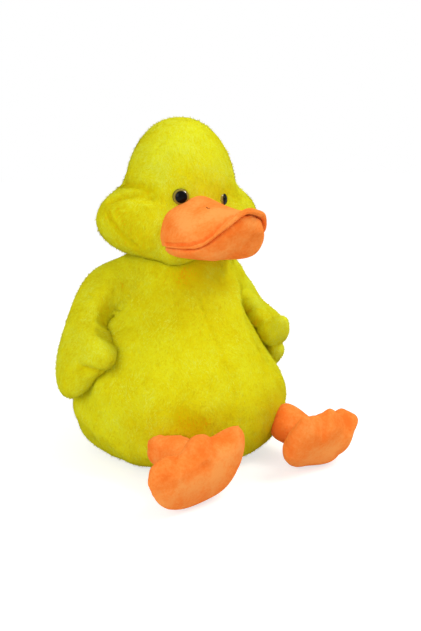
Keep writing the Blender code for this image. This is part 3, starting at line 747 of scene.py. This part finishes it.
def roll(line, radii):
    """A closed round roll of cloth along a line, in metres."""
    around = 12
    points, faces = [], []
    for index, (place, radius) in enumerate(zip(line, radii)):
        run = Vector(line[min(index + 1, len(line) - 1)] - line[max(index - 1, 0)])
        turn = run.to_track_quat("Z", "Y")
        for step in range(around):
            angle = math.tau * step / around
            points.append(Vector(place) + turn @ Vector((math.cos(angle), math.sin(angle), 0)) * radius)
    last = len(points) - around
    for ring in range(0, last, around):
        for step in range(around):
            after = (step + 1) % around
            faces.append([ring + corner for corner in (step, after, around + after, around + step)])
    faces.append(list(range(around - 1, -1, -1)))
    faces.append(list(range(last, len(points))))
    made = bpy.data.meshes.new("roll")
    made.from_pydata(points, [], faces)
    return made


# an even soft orange without gloss; its pile is too short to show as fibres
velboa = plush_material(
    "orange_velboa", pale="#fca052", middle="#fb8d3e", deep="#f87a2c", tuft=0.0005)
rim = 0.001 * curve(RIM, 10)
# the rolled rim is fattest under the arch
way = np.linspace(-1, 1, len(rim))
rim_radii = 0.0020 + 0.0013 * np.clip(1 - ((way - 0.2) / 0.55) ** 2, 0, 1)
upper_bill = stuffed(
    "upper_bill_velboa",
    joined(panel(UPPER_ROOT, UPPER_BACK, UPPER_FRONT, RIM), roll(rim, rim_radii)),
    voxel=0.0015, smoothing=3, cap=0.0006, pressure=2.0)
lower_bill = stuffed(
    "lower_bill_velboa", panel(LOWER_RIM, LOWER_FRONT, LOWER_BACK, LOWER_ROOT),
    voxel=0.0018, smoothing=5, cap=0.0010, pressure=2.0)
for bill, half in ((upper_bill, "upper"), (lower_bill, "lower")):
    bill.data.materials.append(velboa)
    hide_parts(half + "_bill_skin", half + "_bill_filling")
    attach(bill, "head")
# the groove behind the rolled rim, with painted shade in it
GROOVE = ((0, -0.0020), (0.0008, -0.0015), (0.0017, -0.0004), (0.0027, 0.0004), (0.0045, 0))
rim_groove = (
    (165.5, 244.4), (176, 244.9), (190.5, 244.3), (203.1, 241.1), (212.1, 234.8), (219.3, 225.4),
    (228.3, 217.9), (236, 213.8))
sew(upper_bill, on_surface(upper_bill, rim_groove), GROOVE)
# painted light on top of the saddle; painted shade at the near mouth corner and under the rim of the
# lower bill
paint_shading(upper_bill, ((185, 215), (195, 220), (205, 218), (215, 214), (225, 214)), 0.022, 0.12)
paint_shading(upper_bill, ((166, 240), (168, 228)), 0.012, -0.10)
paint_shading(lower_bill, ((237, 224), (230, 232), (220, 243)), 0.010, -0.10)
press(lower_bill, ((253, 249),), 0.020, 0.006, (-0.6, 1))
press(lower_bill, ((218, 255),), 0.022, 0.0028, (0, -1))
# one short stitch of thread, a dull brown line on top of the saddle
THREAD_RADIUS = 0.0004
stitch_line = on_surface(upper_bill, ((206.4, 207.2), (208.0, 208.6), (209.9, 208.2)), 3)
stitch_line = np.array([tuple(point) for point in stitch_line])
stitch = bpy.data.objects.new("bill_stitch", roll(stitch_line, [THREAD_RADIUS] * len(stitch_line)))
bpy.context.scene.collection.objects.link(stitch)
stitch.data.materials.append(fibre_material("brown_thread", "#6b3316"))
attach(stitch, "head")

# Wings
# Stuffed mittens of the same plush with a thumb lobe in front. Their upper edge
# is sewn to the shoulder, where a soft pad fills the valley to the torso.

WING_WEAVE = 0.0035
PAD_RADIUS, PAD_REACH, PAD_DEPTH = 0.056, 0.045, 0.004
# how deep the pad's edge dives into the cloth around it
PAD_DIVE = 0.0025


def bridge(body, limb, middle, radius, reach):
    """A closed pad that fills the valley between a body and a limb, near a place."""
    both = bpy.data.objects.new("both", joined(body.data, limb))
    bpy.context.scene.collection.objects.link(both)
    weave(both, WING_WEAVE)
    trees = []
    for mesh in (body.data, limb):
        shape = bmesh.new()
        shape.from_mesh(mesh)
        trees.append(BVHTree.FromBMesh(shape))
        shape.free()
    shape = bmesh.new()
    shape.from_mesh(both.data)
    bpy.data.objects.remove(both)
    # the pad reaches less far up than down
    up_stretch, down_stretch = Vector((1, 1, 1.3)), Vector((1, 1, 1))
    reached = {}
    for vert in shape.verts:
        stretch = up_stretch if vert.co.z > middle.z else down_stretch
        reached[vert] = ((vert.co - middle) * stretch).length / radius
    outside = [vert for vert, share in reached.items() if share > 1]
    bmesh.ops.delete(shape, geom=outside, context="VERTS")
    shape.normal_update()
    raised = {}
    for vert in shape.verts:
        share = 1 - reached[vert] ** 2
        soft = reach * share * share * (3 - 2 * share)
        place = vert.co.copy()
        for _ in range(10):
            (a, way_a), (b, way_b) = signed(trees[0], place), signed(trees[1], place)
            blend = max(soft - abs(a - b), 0) / max(soft, 1e-6)
            height = min(a, b) - blend * blend * soft / 4
            if height > -0.0001:
                break
            near, far_way = (way_a, way_b) if a < b else (way_b, way_a)
            way = near * (1 - blend / 2) + far_way * (blend / 2)
            place -= way * (height / max(way.length, 0.3))
        raised[vert] = place
    made = bpy.data.meshes.new("bridge")
    verts = list(shape.verts)
    index = {v: i for i, v in enumerate(verts)}
    count = len(verts)
    faces = [[index[v] for v in face.verts] for face in shape.faces]
    # the body rises with the pad, 7 mm at most, and stays half a millimetre under it, so
    # that no step shows; the way up is measured from 2 mm below the body's cloth
    outer = BVHTree.FromPolygons([raised[v] for v in verts], faces)
    places, out = coordinates(body.data), normals(body.data)
    for i in np.flatnonzero(np.linalg.norm(places - np.array(middle), axis=1) < radius):
        way = Vector(out[i])
        height = outer.ray_cast(Vector(places[i]) - 0.002 * way, way, 0.02)[3]
        if height:
            places[i] += out[i] * min(max(height - 0.0025, 0), 0.007)
    move_to(body.data, places)
    for vert, place in raised.items():
        place -= vert.normal * PAD_DIVE * (max(reached[vert] - 0.5, 0) / 0.5) ** 2
    points = [raised[v] for v in verts] + [v.co - PAD_DEPTH * v.normal for v in verts]
    faces += [[i + count for i in reversed(face)] for face in faces]
    for edge in shape.edges:
        if len(edge.link_loops) == 1:
            loop = edge.link_loops[0]
            a, b = index[loop.vert], index[loop.link_loop_next.vert]
            faces.append([b, a, a + count, b + count])
    shape.free()
    made.from_pydata([tuple(point) for point in points], [], faces)
    return made


for side, seed in (("right", 31), ("left", 41)):
    names = ("wing_%s_skin" % side, "wing_%s_filling" % side)
    joint = next(j for j in frame["joints"] if j["name"] == "wing_%s_lift" % side)
    pivot = Vector(joint["pos_m"])
    wing_mesh = solid(*names)
    if side == "left":
        # this toy slumps: the far wing is pulled in, most at the shoulder
        places = coordinates(wing_mesh)
        high = np.clip((places[:, 2] - 0.11) / 0.09, 0, 1)
        across = to_camera @ Vector((1, 0, 0))
        move_to(wing_mesh, places - (0.002 + 0.011 * high ** 2)[:, None] * np.array(across))
    shoulder = Vector((pivot.x, pivot.y - 0.004, 0.206))
    pad = bridge(torso, wing_mesh, shoulder, PAD_RADIUS, PAD_REACH)
    wing = stuffed(
        "wing_%s_plush" % side, joined(wing_mesh, pad),
        voxel=WING_WEAVE, smoothing=10, cap=0.002, sewn_to=torso)
    if side == "right":
        press(wing, ((105, 273), (96, 284), (88, 297)), 0.034, 0.006, (0.8, -0.6))
        press(wing, ((111, 322), (110, 334)), 0.022, 0.009, (-1, 0))
        press(wing, ((114, 352),), 0.018, 0.002, (-1, 0))
        # a fold under the fist, with painted shade in it
        sew(wing, on_surface(wing, ((113, 368), (104, 372), (94, 371), (82, 368))), SOFT_FOLD)
        # painted shade in the armpit slit and on the shoulder below the head, painted light on the fist
        paint_shading(wing, ((106, 306), (104, 320)), 0.014, -0.12)
        paint_shading(wing, ((108, 346), (98, 347), (90, 352)), 0.018, 0.14)
        paint_shading(wing, ((136, 268), (134, 280), (128, 292)), 0.020, -0.05)
    else:
        press(wing, ((284, 332),), 0.026, 0.009, (0, 1))
        press(wing, ((283, 324),), 0.018, 0.005, (0.1, 1))
        press(wing, ((268, 312),), 0.014, -0.003, (0, 1))
        press(wing, ((279, 352),), 0.014, 0.003, (1, 0))
        press(wing, ((248, 304), (255, 318), (263, 334), (270, 350)), 0.020, 0.008)
        # painted shade in the crease beside the torso, painted light over the outer wing
        paint_shading(wing, ((249, 310), (256, 322), (264, 338), (269, 350)), 0.010, -0.20)
        paint_shading(wing, ((258, 300), (282, 319), (250, 285), (281, 334), (280, 350)), 0.020, 0.16)
    wing.data.materials.append(yellow)
    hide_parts(*names)
    # the cloth gives way over the 18 mm across the seam
    fur = pile("wing_%s_pile" % side, wing, count=45000, seed=seed)
    for soft in (wing, fur):
        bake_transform(soft)
# the torso's own pile comes after the wings, as their pads raise the cloth of its shoulders
torso_pile = pile("torso_pile", torso, count=100000, seed=11, length=0.0036)
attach(torso_pile, "torso")

# Legs and feet
# Short stuffed tubes of velboa, sewn to the torso's lower front. They end in flat
# feet whose darts gather the cloth into three fat toes.

DART = ((0, -0.0016), (0.0020, -0.0011), (0.0050, -0.0002), (0.0080, 0.0003), (0.0120, 0))

for side in ("right", "left"):
    leg_names = ("leg_%s_skin" % side, "leg_%s_filling" % side)
    leg = stuffed(
        "leg_%s_velboa" % side, solid(*leg_names), voxel=0.0030, smoothing=5, cap=0.002)
    foot_names = ("foot_%s_skin" % side, "foot_%s_filling" % side)
    foot = stuffed(
        "foot_%s_velboa" % side, solid(*foot_names), voxel=0.0030, smoothing=5, cap=0.002)
    if side == "right":
        press(leg, ((154, 445), (154, 456)), 0.020, 0.005)
        # painted shade on the leg
        paint_shading(leg, ((150, 446), (150, 458)), 0.008, -0.12)
        press(foot, ((196, 440),), 0.020, 0.004)
        press(foot, ((236, 458), (226, 476)), 0.034, 0.002)
        press(foot, ((160, 482), (168, 498)), 0.034, 0.003)
        press(foot, ((156, 470), (158, 484)), 0.026, 0.004, (-1, -0.3))
        darts = (
            ((212, 435), (213, 445), (215, 456)), ((176, 449), (175.5, 460), (176, 472)))
    else:
        press(leg, ((286, 412), (279, 428)), 0.028, 0.005)
        # painted shade on the leg
        paint_shading(leg, ((284, 410), (276, 428), (282, 436)), 0.020, -0.15)
        press(foot, ((306, 425), (314, 423)), 0.016, 0.007, (0.3, 1))
        press(foot, ((340, 446), (328, 456)), 0.028, 0.007, (0.8, -0.6))
        press(foot, ((332, 416), (342, 415)), 0.014, 0.006, (0, 1))
        press(foot, ((352, 420),), 0.014, 0.003, (1, 0))
        press(foot, ((293, 452),), 0.030, 0.003)
        darts = (
            ((325, 415), (326, 426), (325, 436)), ((348, 412), (349, 420), (350, 430)),
            ((292, 419), (285, 430), (285, 443), (290, 455)))
    # darts between the toes, with painted shade in them
    for dart in darts:
        sew(foot, on_surface(foot, dart), DART)
    # painted shade in the clefts between the toes, dented on the right foot, and painted light on their
    # tops
    if side == "right":
        press(foot, ((203, 452), (207, 467)), 0.011, -0.0014)
        press(foot, ((166, 479),), 0.014, -0.0014)
        paint_shading(foot, ((203, 452), (207, 467)), 0.011, -0.12)
        paint_shading(foot, ((166, 479), (170, 484), (228, 438)), 0.014, -0.12)
        paint_shading(foot, ((190, 496), (215, 480), (235, 455), (165, 500)), 0.026, 0.12)
    else:
        paint_shading(foot, ((302, 424), (318, 433), (336, 420), (346, 420)), 0.010, -0.10)
        paint_shading(foot, ((310, 458), (330, 450)), 0.026, 0.10)
    for soft, names in ((leg, leg_names), (foot, foot_names)):
        rest_on_floor(soft)
        soft.data.materials.append(velboa)
        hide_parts(*names)
    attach(leg, "leg_" + side)
    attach(foot, "foot_" + side)

# Tail
# A small stuffed point of the same plush, sewn to the lower back so that it
# sticks up. The photograph doesn't show it.

tail = stuffed(
    "tail_plush", solid("tail_skin", "tail_filling"), voxel=0.0030, smoothing=5, cap=0.002)
tail.data.materials.append(yellow)
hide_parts("tail_skin", "tail_filling")
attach(tail, "tail")
tail_pile = pile("tail_pile", tail, count=15000, seed=53)
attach(tail_pile, "tail")
